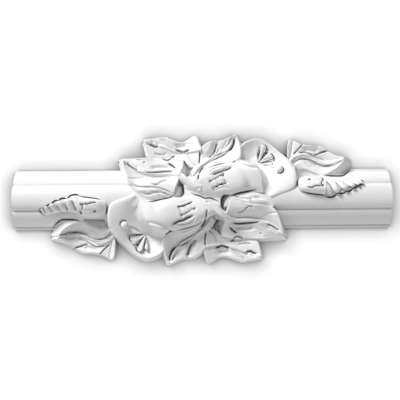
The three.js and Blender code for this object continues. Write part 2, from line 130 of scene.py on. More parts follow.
# The carving of the spray.
# The carver of the pattern cut these with a parting tool and gouges: hollows beside the ribs, veins in the
# blades and slits in the calyxes. Each is a line of x and z, its depth, and its reach to the left and right
# of the line.
CUTS = [
    # Side leaf
    ([(-76.5, 34.6), (-72.5, 31.7), (-68.6, 29.2), (-64.5, 27.7)], 6, 6, 1.2),
    ([(-56.5, 25.4), (-49.6, 25.5), (-42.6, 26.1), (-35.5, 26.4), (-29.4, 25.9)], 6, 2, 1.2),
    ([(-50.8, 30.5), (-44.7, 31.2), (-38.6, 31), (-33.5, 30.4)], 3.4, 4, 3.5),
    ([(-33.6, 35.5), (-30, 33.1), (-26.9, 30.1)], 6.5, 1.2, 1.5),
    ([(-52.7, 22.6), (-42.5, 22.7), (-32.4, 22.4), (-23.3, 20.4)], 0.8, 0.9, 0.9),
    ([(-74.1, 17.8), (-68.2, 17.9), (-62.3, 19), (-58, 20.5)], 1.3, 1.3, 1.3),
    ([(-50.1, 12.3), (-47.1, 11.1), (-44.1, 12.1), (-40.3, 15.2), (-34.3, 16.6)], 3, 1.5, 1.1),
    ([(-58.9, 36.8), (-58.3, 36.7)], 2.6, 1.3, 1.3),
    ([(-66.9, 39.7), (-63.9, 39.7), (-60.9, 39)], 1.2, 0.8, 0.8),
    ([(-40.7, 41.8), (-36.6, 39.5), (-33.1, 40), (-30.6, 42.5), (-28, 44.1)], 4, 1, 1.1),
    ([(-59.9, 35.5), (-55.8, 32.5), (-51.7, 29.6)], 1.1, 1.2, 1.2),
    # Crest leaf
    ([(-54, 56.4), (-51, 55.4), (-47.9, 53.8), (-43.7, 54.6)], 6.5, 5, 1.2),
    ([(-42.8, 61.9), (-39.7, 60), (-36.7, 56.8), (-32.6, 53.5), (-27.5, 51.2)], 1.8, 1.3, 1),
    ([(-38.7, 62.3), (-34.6, 58.8), (-30.5, 55.2), (-25.4, 52.9)], 1.5, 1.4, 1.2),
    ([(-26.5, 50.3), (-23, 49), (-19.3, 47.9), (-15.5, 49), (-13, 50)], 6.5, 2.4, 1.4),
    ([(-26.4, 54.2), (-21.3, 54.2), (-16.2, 54.1)], 3.2, 4.5, 4),
    ([(-44.8, 54.2), (-39.7, 52.4), (-34.6, 50.5), (-29.5, 48.8)], 1.2, 0.8, 0.8),
    ([(-48.4, 47.2), (-44.9, 46.1), (-39.8, 46.2), (-36.2, 47.3)], 2.2, 1.2, 1.2),
    ([(-51, 43.2), (-46.8, 41.3), (-42.8, 41.8)], 0.9, 1.4, 1.4),
    ([(-14.7, 46.1), (-12.2, 39.8), (-8.7, 35), (-5.1, 32.3)], 1.8, 1, 1.3),
    ([(-2.4, 48.1), (-2.4, 41), (-3.1, 34.9)], 5, 0.9, 0.9),
    ([(-42.8, 62.7), (-35.6, 63.3), (-30.5, 60.8), (-23.4, 58.9), (-16.2, 60.4), (-11, 62.3)], 0.8, 1, 1),
    ([(-16.2, 57.8), (-13.1, 57), (-9, 55.7)], 0.9, 1, 1),
    # Tip leaf
    ([(6.2, 42.3), (9.2, 43.4), (12.4, 47.3), (14.5, 52.6), (16.1, 57.8)], 7.5, 7, 1.4),
    ([(8.6, 38.4), (12.8, 42.9), (16, 47.3), (18.1, 52.1)], 2, 1.1, 1.1),
    ([(20.1, 50), (23.2, 54.8), (25.9, 59.5)], 1.6, 1.7, 1.3),
    ([(24.2, 52.2), (27.9, 57.5), (31.1, 63.1)], 2, 1.5, 1.5),
    ([(27.8, 49.5), (30.9, 52.1), (33.1, 57.5), (33.6, 63.3)], 7, 3.2, 1.2),
    ([(6.5, 37.6), (13.3, 42.3), (18.5, 45.9), (23.6, 47.8), (27.8, 49.5)], 3.4, 1.2, 1),
    ([(-4.3, 15.4), (-3, 21.3), (-1.2, 26.9), (1.9, 30.2)], 6, 1.5, 1.2),
    ([(12.1, 33.1), (16.2, 34.5), (20.8, 35.7)], 1.5, 1.1, 1.1),
    ([(-8.8, 19.6), (-7.8, 22.1), (-6.2, 25.7)], 2, 2.5, 2.5),
    # Calyx of the flower
    ([(10.1, 20.2), (14.6, 21.8), (19.6, 24), (25.5, 25.7), (29.8, 28.4)], 7, 3.5, 1.2),
    ([(7.6, 22.1), (9.5, 25.3), (13.7, 27.6), (19.7, 28.7), (26.6, 29.2)], 2, 1.1, 1.1),
    ([(7.5, 14), (11, 14.9), (14.5, 17), (18, 19), (21, 20.8)], 3.6, 1.3, 1),
    ([(7.7, 14), (8.5, 14.1)], 4.5, 1.7, 1.7),
    ([(20.5, 20.6), (21, 19.2)], 6, 1.8, 1.8),
    ([(10.5, 6.9), (14.9, 9), (18.9, 10.7), (23.2, 11.9)], 6, 1.5, 1.1),
    ([(22.8, 11.9), (23.6, 11.9)], 6, 1.7, 1.7),
    ([(20.9, 18.6), (22, 15.5), (23.4, 13.1)], 2.6, 1.1, 1.1),
    ([(11, 4.8), (16.4, 6.4), (21.4, 7.6), (27.4, 6.6)], 1, 1, 1.4),
    ([(-11.9, 6), (-7.9, 5.9), (-4.4, 7.3), (-1.4, 7), (-0.4, 4.9)], 1.8, 1, 1.8),
    ([(35.9, 35), (39.6, 31.3), (44.5, 29.1), (50.4, 27.6), (55.4, 27.8)], 2, 2, 3),
    # Stamens and petal
    ([(56.5, 39.2), (57, 43), (57.4, 47)], 4, 1.5, 0.9),
    ([(59.8, 39.2), (62.7, 42.2), (65.4, 46), (66.6, 49.6), (66.1, 52.6), (63.8, 54.4)], 4, 0.8, 1),
    ([(61.8, 43.6), (63, 47.8), (64, 51.1)], 1.4, 0.9, 0.9),
    ([(61.3, 36.5), (66.3, 36.7), (70.1, 36.6), (73.1, 36.7), (73.6, 39.8), (72.1, 43),
      (70.2, 44.6)], 4, 0.9, 1),
    ([(61.7, 38.5), (66.1, 39.8), (71.1, 40.7)], 1.5, 0.9, 0.9),
    ([(64.2, 33.8), (67.7, 31.1), (70.6, 30), (73.9, 29.4)], 2.2, 1.3, 1.5),
    ([(63.5, 58.3), (69.5, 53.9), (75.3, 46.8), (81.1, 40.7)], 0.8, 1, 1.2),
    ([(80.3, 30.4), (82, 27.8), (81.4, 25), (79, 23.4), (76.2, 23.3)], 5, 1, 1.1),
    # Far leaf
    ([(91.3, 44.5), (92, 48.8), (92.9, 54.2), (94, 61)], 1.4, 1.3, 1.8),
    ([(94, 45.6), (97.1, 48.8), (99.8, 51.6), (104.5, 56.9)], 4.2, 1, 1),
    ([(91.2, 42.9), (95.3, 44), (99.6, 46.6)], 1.4, 1, 1),
    ([(99.6, 46.9), (105.9, 48), (110, 46.7), (115.2, 43.6), (120.4, 40.9), (124.5, 39.5)], 3.8, 1.6, 1),
    ([(89.7, 35), (95.2, 41.3), (100.4, 43), (106.6, 43.1), (112, 41.8), (116, 39.5)], 1.6, 0.9, 0.9),
    ([(90.5, 31.3), (95.6, 37.2), (99.4, 39.7), (104.6, 40.8), (109.7, 39.9), (114.9, 37.7), (119.1, 35.5),
      (125.3, 33.5), (130.3, 33.5), (135, 35.3)], 3.4, 1.1, 1.2),
    ([(136.1, 37.5), (138.7, 35.8), (142.2, 36.9)], 1.8, 0.9, 0.9),
    ([(104.5, 50.4), (111.9, 50), (118.5, 48.6)], 3.4, 3.8, 4.2),
    ([(115.6, 45.1), (119.2, 46.1), (122.8, 47.6), (129.2, 49.2)], 5.5, 1.2, 2),
    ([(105.3, 36.9), (108.2, 34.1), (111.1, 32), (113.8, 32.8)], 2, 1.2, 1.6),
    ([(115, 36.7), (116.6, 34.5), (117.3, 30.4)], 1.2, 1, 1),
    ([(104.9, 53.4), (112.9, 52.7), (121.3, 53)], 0.8, 1, 1),
    # Calyx of the bud
    ([(106.5, 15), (107.1, 15)], 5.5, 1.7, 1.7),
    ([(107.1, 14.8), (112.9, 14.4), (119.1, 14.9)], 1.1, 0.9, 0.9),
    ([(120.4, 16.2), (121.2, 14.7)], 6, 1.9, 1.9),
    ([(105.3, 7.2), (108.3, 6.7), (112.1, 8), (116.7, 8.4), (119.7, 8.5)], 4.5, 1.1, 1.3),
    ([(119.2, 8.4), (119.9, 8.4)], 5.5, 1.6, 1.6),
    ([(119.4, 13.8), (118.3, 10.5), (119.3, 8.1)], 4, 1.1, 1.1),
    # Flank of the side leaf
    ([(-61.1, 4.2), (-54.6, 2.7), (-49.1, 4), (-43.6, 4.5), (-38.7, 3.5), (-33.8, 1.2),
      (-30.3, -0.2)], 3.4, 1.2, 3.5),
    ([(-43.7, 1.4), (-42.7, -0.5), (-39.3, -1.2), (-34.3, -1.8)], 1.4, 0.9, 0.9),
    ([(-68.1, 11.4), (-64.1, 9.8), (-58.1, 9.2), (-52.1, 9), (-46.1, 8.6), (-40.2, 7.2), (-34.2, 4.9),
      (-31.3, 3)], 2.6, 1, 4),
]
LINE_STEPS = 4
LEAST_HEIGHT = 1.5
V_FALL = 1.5
STEEP_REACH = 3
SLOT_REACH = 1.1
SLOT_SHARE = 0.35
SHORT_CUT = 3
END_SHARE = 0.4
END_RISE = 6


def smooth(points, t):
    """The smooth curve through the points, at shares t of its length."""
    p = np.asarray(points, float)
    p = np.vstack([2 * p[0] - p[1], p, 2 * p[-1] - p[-2]])
    s = np.clip(np.asarray(t, float), 0, 1) * (len(p) - 3)
    i = np.minimum(s.astype(int), len(p) - 4)
    w = (s - i)[..., None]
    a, b, c, d = p[i], p[i + 1], p[i + 2], p[i + 3]
    return b + w * (c - a) / 2 + w**2 * (a - 2.5 * b + 2 * c - d / 2) + w**3 * (1.5 * (b - c) + (d - a) / 2)


def carve(rows):
    """Cuts the lines into rows of x, z and height: a V where the reach is short, a bowl where it is long."""
    deepest = np.zeros(len(rows))
    for line, depth, left, right in CUTS:
        path = smooth(line, np.linspace(0, 1, LINE_STEPS * len(line)))
        reach = max(left, right)
        low, high = path.min(axis=0) - reach, path.max(axis=0) + reach
        near = np.flatnonzero(((rows[:, :2] > low) & (rows[:, :2] < high)).all(axis=1))
        if not len(near):
            continue
        start, step = path[:-1], np.diff(path, axis=0)
        length = np.hypot(*step.T)
        walked = np.concatenate([[0], np.cumsum(length)])
        away = rows[near, None, :2] - start
        along = np.clip((away * step).sum(axis=2) / length**2, 0, 1)
        away -= along[..., None] * step
        distance = np.hypot(away[..., 0], away[..., 1])
        nearest = distance.argmin(axis=1)
        pick = np.arange(len(near)), nearest
        cross = step[nearest, 0] * away[pick][:, 1] - step[nearest, 1] * away[pick][:, 0]
        side_reach = np.where(cross > 0, left, right)
        share = np.minimum(distance[pick] / side_reach, 1)
        profile = (1 - share) ** V_FALL
        if reach > STEEP_REACH:
            bowl = 1 - share**2 * (3 - 2 * share)
            if min(left, right) < STEEP_REACH:
                slot = np.maximum(0, 1 - distance[pick] / SLOT_REACH)
                bowl = (1 - SLOT_SHARE) * bowl + SLOT_SHARE * slot
            profile = np.where(side_reach > STEEP_REACH, bowl, profile)
        place = (walked[nearest] + along[pick] * length[nearest]) / walked[-1]
        ends = np.clip(np.minimum(place, 1 - place) * END_RISE + END_SHARE, 0, 1)
        if walked[-1] <= SHORT_CUT:
            ends = 1
        deepest[near] = np.maximum(deepest[near], depth * ends * profile)
    cut = np.maximum(rows[:, 2] - deepest, LEAST_HEIGHT)
    rows[:, 2] = np.where(rows[:, 2] > LEAST_HEIGHT, cut, rows[:, 2])
    return rows


# The leaves.
# Four in each half of the spray, cast with the bar: a ribbed blade with thick edges. Its sides lean out down
# to the bar, to the left, right, up and down, so that the casting leaves its mould. Each edge runs from the
# root to the tip, as x, z and height.
SIDE_LEAF = dict(
    rib=[(-22.5, 22, 27), (-33, 23.6, 19), (-46, 23.5, 18), (-57, 25.4, 18.5), (-66, 28.6, 20),
         (-73, 33, 21), (-79, 37.4, 22)],
    upper=[(-18, 39, 12), (-31, 41.5, 10), (-45, 42, 10), (-57, 42, 11), (-66, 41.3, 12), (-73, 41, 13),
           (-80.3, 40, 16)],
    lower=[(-29, 2.5, 26.5), (-40, 7.5, 28), (-50, 9.5, 28), (-60, 9.6, 27), (-68, 11, 26), (-74.5, 18, 25),
           (-80, 36.2, 21)],
    rib_half=2.6, rib_rise=2.8, wave=0.8, lean=(0.24, 0.19, 0.19, 0.19), steps=104, columns=64,
)
CREST_LEAF = dict(
    rib=[(-1, 50, 13), (-12, 48, 11), (-22, 48, 9), (-31, 50.2, 9.5), (-40, 53.5, 10), (-49, 56.5, 10),
         (-58, 59.3, 11)],
    upper=[(-2, 54.5, 11), (-7, 64.8, 8), (-19, 59.3, 7), (-29, 60.8, 7.5), (-38, 64.2, 8), (-47, 63, 9),
           (-58.8, 61, 9)],
    lower=[(-3.5, 33, 12), (-11, 31.5, 12), (-22, 40, 9), (-33, 39.5, 6), (-44, 40.5, 7), (-54.5, 43, 8),
           (-59, 58.4, 9)],
    rib_half=1.9, rib_rise=1.8, wave=0.6, lean=(0.09, 0.09, 0.09, 0.09), steps=96, columns=48,
)
TIP_LEAF = dict(
    rib=[(-9, 21, 23), (-3.5, 30, 20), (5, 37, 16), (15, 42.3, 12), (24, 48, 10), (30, 55.5, 9),
         (34, 65.4, 9)],
    upper=[(-12, 25, 20), (-8, 31, 17), (-3, 38, 12), (-2, 50.5, 9), (8, 59, 8.5), (20.4, 60.5, 8),
           (33.2, 66.2, 8)],
    lower=[(-5, 17, 22), (0, 25, 22), (8, 29.5, 22), (18, 33, 21.5), (30, 34.5, 21), (38.5, 40, 18),
           (39.5, 52, 11), (35.2, 65.4, 8)],
    rib_half=1.8, rib_rise=2.8, wave=0.5, lean=(0.12, 0.12, 0.12, 0.12), steps=88, columns=48,
)
FAR_LEAF = dict(
    rib=[(89, 36, 10), (95, 42.3, 8.5), (102.5, 44, 8), (113, 39.6, 6), (123, 36.2, 5), (134, 36.2, 8),
         (143.2, 38.2, 16)],
    upper=[(88, 43, 9), (90.5, 60.4, 5), (102, 56.2, 6.5), (112, 54.2, 7.5), (123, 53, 6.5), (133, 45, 8),
           (144, 40.4, 15)],
    lower=[(90, 31, 12), (97, 28, 9), (104, 26, 8.5), (113, 23, 10), (124, 22.2, 12.5), (136.5, 29, 16.5),
           (144.6, 37.6, 16)],
    rib_half=3.1, rib_rise=2.6, wave=0.5, lean=(0.02, 0.38, 0.08, 1.75), steps=92, columns=56, fold=3,
)
CROWDING = 0.07
LIP = 0.8
RIB_COLUMNS = 0.25
LEAST_REACH = 0.01
WIDEST_RIB = 0.4
FULL_RIB = 6
WAVES = 14
WAVE_SHIFT = 2


def crowded(count):
    """Shares from 0 to 1 that stand closer together towards both ends."""
    s = np.linspace(0, 1, count + 1)
    return s - np.sin(2 * np.pi * s) * CROWDING


def casting(name, front, lean):
    """A closed block from a grid of x, z and height, carved, with sides that lean out to a flat back."""
    steps, columns = front.shape[0], front.shape[1]
    number = np.arange(steps * columns).reshape(steps, columns)
    ring = np.concatenate([number[:, 0], number[-1, 1:], number[-2::-1, -1], number[0, -2:0:-1]])
    rows = front.reshape(-1, 3).copy()
    edge = rows[ring].copy()
    left, right, up, down = lean
    aside, above = (edge[:, :2] - edge[:, :2].mean(axis=0)).T
    edge[:, 0] += aside * np.where(aside > 0, right, left)
    edge[:, 1] += above * np.where(above > 0, up, down)
    edge[:, 2] = -BEHIND
    rows = carve(rows)
    back = len(rows) + np.arange(len(ring))
    quads = np.stack([number[:-1, :-1], number[1:, :-1], number[1:, 1:], number[:-1, 1:]], axis=-1)
    sides = np.stack([np.roll(ring, -1), ring, back, np.roll(back, -1)], axis=-1)
    faces = quads.reshape(-1, 4).tolist() + sides.tolist() + [back[::-1].tolist()]
    return mesh_object(name, np.vstack([rows, edge]), faces)


def leaf(name, rib, upper, lower, rib_half, rib_rise, wave, lean, steps, columns, fold=0):
    """A blade from its rib to both edges: round over the rib, then a valley that rises to the edge."""
    u, v = np.meshgrid(crowded(steps), crowded(columns), indexing="ij")
    side = 2 * v - 1
    spread = np.abs(side)
    spine = smooth(rib, u)
    margin = np.where((side > 0)[..., None], smooth(upper, u), smooth(lower, u))
    reach = np.hypot(margin[..., 0] - spine[..., 0], margin[..., 1] - spine[..., 1])
    reach = np.maximum(reach, LEAST_REACH)
    valley = np.minimum(WIDEST_RIB, rib_half / reach)
    floor = spine[..., 2] - rib_rise * np.minimum(1, reach / FULL_RIB)
    on_rib = spread <= RIB_COLUMNS
    k = np.where(on_rib, spread / RIB_COLUMNS, (spread - RIB_COLUMNS) / (1 - RIB_COLUMNS))
    share = np.where(on_rib, valley * k, valley + (1 - valley) * k)
    rise = np.sin(k * np.pi / 2)
    swell = wave * np.sin(u * WAVES + np.where(side > 0, 0, WAVE_SHIFT)) * k * k
    swell = swell + np.where(side < 0, fold * np.sin(np.pi * k) * (1 - u), 0)
    height = np.where(on_rib, spine[..., 2] + (floor - spine[..., 2]) * k * k,
                      floor + (margin[..., 2] - floor) * rise + swell)
    from_margin = np.clip((1 - share) * reach / LIP, 0, 1)
    height = height - LIP * (1 - np.sqrt(1 - (1 - from_margin) ** 2))
    front = np.stack([spine[..., 0] + (margin[..., 0] - spine[..., 0]) * share,
                      spine[..., 1] + (margin[..., 1] - spine[..., 1]) * share, height], axis=-1)
    return casting(name, front, lean)


def merge(obj, other, how="UNION"):
    """Joins another closed mesh to obj, or cuts it out, and takes the other one away."""
    cutter = obj.modifiers.new("merge", "BOOLEAN")
    cutter.operation = how
    cutter.solver = "MANIFOLD"
    cutter.object = other
    graph = bpy.context.evaluated_depsgraph_get()
    graph.update()
    mesh = bpy.data.meshes.new_from_object(obj.evaluated_get(graph))
    obj.modifiers.clear()
    obj.data = mesh
    bpy.data.objects.remove(other)


spray = leaf("spray", **SIDE_LEAF)
for name, shape in (("crest leaf", CREST_LEAF), ("tip leaf", TIP_LEAF), ("far leaf", FAR_LEAF)):
    merge(spray, leaf(name, **shape))


# The stalks, calyxes and buds.
# Round bodies under and between the leaves, cast with them. Each has an upper and a lower edge and the crest
# between them, from its base to its end. The flower cup draws in before its rim, and the bud is nicked into
# scales.
FLANK = dict(
    upper=[(-27, 7, 23.5), (-40, 9, 26.5), (-50, 11, 27), (-60, 11, 26), (-70, 13, 23.5)],
    crest=[(-29, 1, 25), (-40, 2, 27), (-50, 2.5, 27.2), (-60, 3, 26), (-71, 9, 23)],
    lower=[(-30, -1, 19), (-39, -4, 20), (-50, -4.6, 20), (-60, -0.5, 19), (-72, 7, 19)],
    steps=64, columns=26,
)
STEM = dict(
    upper=[(-30, 25, 14), (-22, 23.4, 22), (-12, 17, 23), (-1, 13, 26)],
    crest=[(-30, 22.5, 15), (-21, 20, 27), (-12, 13.5, 29), (-1, 8.5, 30)],
    lower=[(-30, 19, 14), (-23, 15.5, 20), (-14, 8.5, 23), (-4, 4, 25)],
    steps=40, columns=20,
)
FLOWER_CUP = dict(
    upper=[(-18, 15, 18), (-9, 20, 21), (-1, 25, 20), (8, 29.5, 20), (17, 32.5, 20), (27, 35.5, 20),
           (36.5, 36, 25)],
    crest=[(-20, 9, 22), (-11, 10, 27), (-2, 10, 29.5), (9, 12, 31), (22, 13, 31.5), (38, 14, 32.3),
           (56.5, 15.5, 30)],
    lower=[(-18, 5.5, 16), (-8, 3, 12.5), (2, -0.5, 12), (12, -2.5, 14), (26, 1.5, 20), (42, 3, 21),
           (60.5, 3, 25.5)],
    steps=112, columns=60, base_round=0.06, waist=0.12,
)
BUD_CALYX = dict(
    upper=[(98, 17, 19), (105, 19.6, 18), (114, 20, 18), (122.5, 18, 18)],
    crest=[(96, 11, 26), (104, 11.2, 30), (114, 10.8, 31), (123, 9.5, 30.5)],
    lower=[(98, 4.5, 23.6), (105, 2.8, 24), (114, 1.6, 24.3), (122, 0.4, 24.3)],
    steps=48, columns=44,
)
BUD = dict(
    upper=[(119, 17, 17), (130, 14.8, 17.5), (140, 14.3, 18), (150, 16, 17), (157, 17.6, 17),
           (161, 16.5, 17)],
    crest=[(119, 9.5, 29.5), (130, 8, 29.5), (140, 8.6, 28.8), (150, 10.6, 27.6), (157, 12.4, 26),
           (162.5, 12.4, 23.4)],
    lower=[(119, 1.2, 24.3), (130, 0.6, 24.3), (140, 4.4, 24), (150, 7.4, 23.2), (157, 10, 22.2),
           (161.5, 12, 21)],
    steps=120, columns=40, scales=6.15, slant=0.3, depth=4.2,
)
NEAR_RIM = [(36.5, 36, 25), (45, 32.6, 28.5), (53, 28.4, 30), (57.8, 21, 30), (59, 10.5, 28.5),
            (60.5, 3, 25.5)]
ROUND_LEAN = (0.08, 0.08, 0.08, 0.08)
FULLNESS = 0.85
BLUNTEST = 0.97
WAIST_PLACE = 0.9
WAIST_LENGTH = 0.045
SCALE_EDGE = 4
SCALE_NARROWING = 0.55
TOP_FADE = 0.85
TOP_FADE_POWER = 8
RIM_PULL = 5


def round_body(name, upper, crest, lower, steps, columns, rim=None, base_round=0, waist=0,
               scales=0, slant=0, depth=0):
    """A half-round body over its two edges. With scales, rounded nicks run across it at a slant."""
    u, v = np.meshgrid(crowded(steps), crowded(columns), indexing="ij")
    angle = ((v - 0.5) * np.pi)[..., None]
    top, low = smooth(upper, u), smooth(lower, u)
    middle = (top + low) / 2
    size = 1.0
    if base_round:
        size = np.sqrt(1 - np.clip(1 - u / base_round, 0, BLUNTEST) ** 2)[..., None]
        size = size - waist * np.exp(-(((u - WAIST_PLACE) / WAIST_LENGTH) ** 2))[..., None]
    rise = (smooth(crest, u) - middle) * size
    half = (top - low) / 2 * size
    round_up, round_across = np.cos(angle), np.sin(angle)
    full_across = np.sign(round_across) * np.abs(round_across) ** FULLNESS
    front = middle + rise * np.abs(round_up) ** FULLNESS + half * full_across
    if scales:
        across = np.sin(angle[..., 0])
        fade = 1 - TOP_FADE * np.maximum(0, across) ** TOP_FADE_POWER
        dip = depth * np.abs(np.cos(np.pi * (scales * u + across * slant))) ** SCALE_EDGE * fade
        inward = np.stack([np.zeros_like(dip), across * SCALE_NARROWING, np.cos(angle[..., 0])], axis=-1)
        front = front - dip[..., None] * inward
    if rim:
        front = front + (smooth(rim, 1 - v) - front[-1:]) * (u**RIM_PULL)[..., None]
    return casting(name, front, ROUND_LEAN)


merge(spray, round_body("flank", **FLANK))
merge(spray, round_body("stem", **STEM))
merge(spray, round_body("flower cup", rim=NEAR_RIM, **FLOWER_CUP))
merge(spray, round_body("bud calyx", **BUD_CALYX))
merge(spray, round_body("bud", **BUD))


# The open flower.
# The near rim falls into the throat and the petals rise from it to the outer rim: hollow on the left of the
# throat, swelling on its right. Four stamens fan out of the throat, and a small round boss stands on the
# right petal. All are cast with the cup.
THROAT = [(38, 42, 11), (46, 40, 5), (54, 38, 3), (60, 31, 7.5), (66.5, 22, 12), (67.5, 12, 18),
          (64.5, 2, 22)]
OUTER_RIM = [(37.5, 45, 14), (39.4, 52.8, 12.5), (47.4, 59.4, 12.5), (57.5, 61.2, 12.5), (68, 56.7, 12.5),
             (78.5, 47, 14), (87, 39, 17), (92.5, 31, 20), (94.6, 22, 23.5), (94, 12, 25),
             (90.5, 6, 24.5), (81, 1.5, 24), (70, -3.6, 23)]
MOUTH_STEPS = 96
MOUTH_COLUMNS = 84
MOUTH_LEAN = (0.1, 0.1, 0.06, 0.1)
NEAR_SHARE = 0.36
NEAR_STEP = (0, 0, 0.6)
NEAR_FALL = 1.3
HOLLOW = 2
SWELL = 2.4
SWELL_START = 0.35
SWELL_LENGTH = 0.25
RIM_ROLL = 4
ROLL_DROP = 1.5
STAMENS = [
    ((57, 38.5, 6.5), (56.4, 52, 11), 3.6),
    ((58, 38, 6.5), (64, 53.8, 11.5), 6.4),
    ((59.4, 37.4, 6.5), (71.8, 44, 12), 8.6),
    ((60.6, 35, 6.5), (71.6, 34.6, 12.5), 4.6),
]
STAMEN_STEPS = 28
STAMEN_COLUMNS = 14
STAMEN_ROOT = 0.2
STAMEN_TIP = 0.2
STAMEN_RISE = 1.5
STAMEN_FALL = 0.9
BLUNT_END = 0.95
ROOT_RISE = 0.5
ROOT_GROWTH = 2
BOSS = (78.2, 28, 18)
BOSS_RADIUS = 3.7
BOSS_SEGMENTS = 32
BOSS_RINGS = 20


def flower_mouth():
    u, v = np.meshgrid(crowded(MOUTH_STEPS), crowded(MOUTH_COLUMNS), indexing="ij")
    low, near, far = smooth(THROAT, u), smooth(NEAR_RIM, u), smooth(OUTER_RIM, u)
    inside = v < NEAR_SHARE
    k = np.where(inside, 1 - v / NEAR_SHARE, (v - NEAR_SHARE) / (1 - NEAR_SHARE))
    end = np.where(inside[..., None], near - NEAR_STEP, far)
    turn = np.clip((u - SWELL_START) / SWELL_LENGTH, 0, 1)
    turn = turn**2 * (3 - 2 * turn)
    swell = np.where(inside, 0, (SWELL * turn - HOLLOW * (1 - turn)) * np.sin(np.pi * k))
    height = low[..., 2] + (end[..., 2] - low[..., 2]) * np.where(inside, k**NEAR_FALL, k) + swell
    reach = np.hypot(end[..., 0] - low[..., 0], end[..., 1] - low[..., 1])
    from_rim = np.where(inside, RIM_ROLL, (1 - k) * reach)
    height = height - ROLL_DROP * np.clip(1 - from_rim / RIM_ROLL, 0, 1) ** 2
    height = height - LIP * (1 - np.sqrt(1 - np.clip(1 - from_rim / LIP, 0, 1) ** 2))
    front = np.stack([low[..., 0] + (end[..., 0] - low[..., 0]) * k,
                      low[..., 1] + (end[..., 1] - low[..., 1]) * k, height], axis=-1)
    return casting("flower mouth", front, MOUTH_LEAN)


def stamen(start, end, width):
    """A low rounded finger that widens from its root in the throat to its blunt tip."""
    u, v = np.meshgrid(crowded(STAMEN_STEPS), crowded(STAMEN_COLUMNS), indexing="ij")
    start, end = np.array(start, float), np.array(end, float)
    side = np.array([start[1] - end[1], end[0] - start[0]])
    side /= np.hypot(*side)
    blunt = np.sqrt(1 - np.clip((u - (1 - STAMEN_TIP)) / STAMEN_TIP, 0, BLUNT_END) ** 2)
    half = width / 2 * (STAMEN_ROOT + (1 - STAMEN_ROOT) * u) * blunt
    across = 2 * v - 1
    front = start + (end - start) * u[..., None]
    front[..., 0] += side[0] * across * half
    front[..., 1] += side[1] * across * half
    round_top = np.sqrt(1 - STAMEN_FALL * across**4)
    front[..., 2] += STAMEN_RISE * round_top * np.minimum(1, ROOT_RISE + ROOT_GROWTH * u)
    return casting("stamen", front, ROUND_LEAN)


def boss():
    x, z, height = (size * MM for size in BOSS)
    bpy.ops.mesh.primitive_uv_sphere_add(segments=BOSS_SEGMENTS, ring_count=BOSS_RINGS,
                                         radius=BOSS_RADIUS * MM, location=(x, -height, z))
    ball = bpy.context.object
    ball.data.transform(ball.matrix_world)
    ball.matrix_world = Matrix()
    return ball


merge(spray, flower_mouth())
for start, end, width in STAMENS:
    merge(spray, stamen(start, end, width))
merge(spray, boss())


# The ground of the spray.
# A thin plate of the same foam behind the leaves, cast with them. It closes the gaps between them above and
# below the bar, and its back lies in the wall plane.
GROUND = [(-40, 26), (-40, 36), (-20, 44), (0, 44), (20, 48), (36, 44), (50, 48), (70, 40), (84, 30),
          (100, 34), (125, 32), (130, 26)]
GROUND_THICKNESS = 4


def ground():
    n = len(GROUND)
    rows = [(x, z, GROUND_THICKNESS) for x, z in GROUND] + [(x, z, -BEHIND) for x, z in GROUND]
    faces = [tuple(range(n)), tuple(range(n, 2 * n))[::-1]]
    faces += [((i + 1) % n, i, n + i, n + (i + 1) % n) for i in range(n)]
    return mesh_object("ground", rows, faces)


merge(spray, ground())


# The whole casting.
# The second half of the spray is the first one turned half round, and both are one body with the bar.
# Pockets and narrow creases are sunk where the forms meet and between the scales of the buds. The back is
# flat in the wall plane, by which it is fixed, and edges sharper than SHARP_EDGE degrees stay crisp.
POCKETS = [
    ([(-23.5, 17.1, 27), (-25.8, 9, 27), (-28.4, 1.8, 26.5), (-29.8, -0.4, 26)],
     [(-20.5, 13, 14), (-18.2, 9, 12), (-18.2, 2.5, 12), (-21.5, -1.8, 13)]),
    ([(-18.8, 38.7, 11), (-19.4, 33, 12), (-21.5, 27, 13), (-22, 24.9, 14)],
     [(-18, 38.3, 8), (-14.9, 34, 4), (-11.4, 28, 3), (-14.4, 21.5, 4)]),
    ([(97.3, 25.6, 8), (100.6, 29.6, 7.4), (107.2, 28.6, 7.4), (113.3, 25.6, 8.4), (119.4, 22.6, 11)],
     [(98.7, 20.6, 4.5), (102.7, 20.8, 4.5), (107.9, 20.8, 5), (114, 20.8, 7.5), (120.1, 21, 11)]),
]
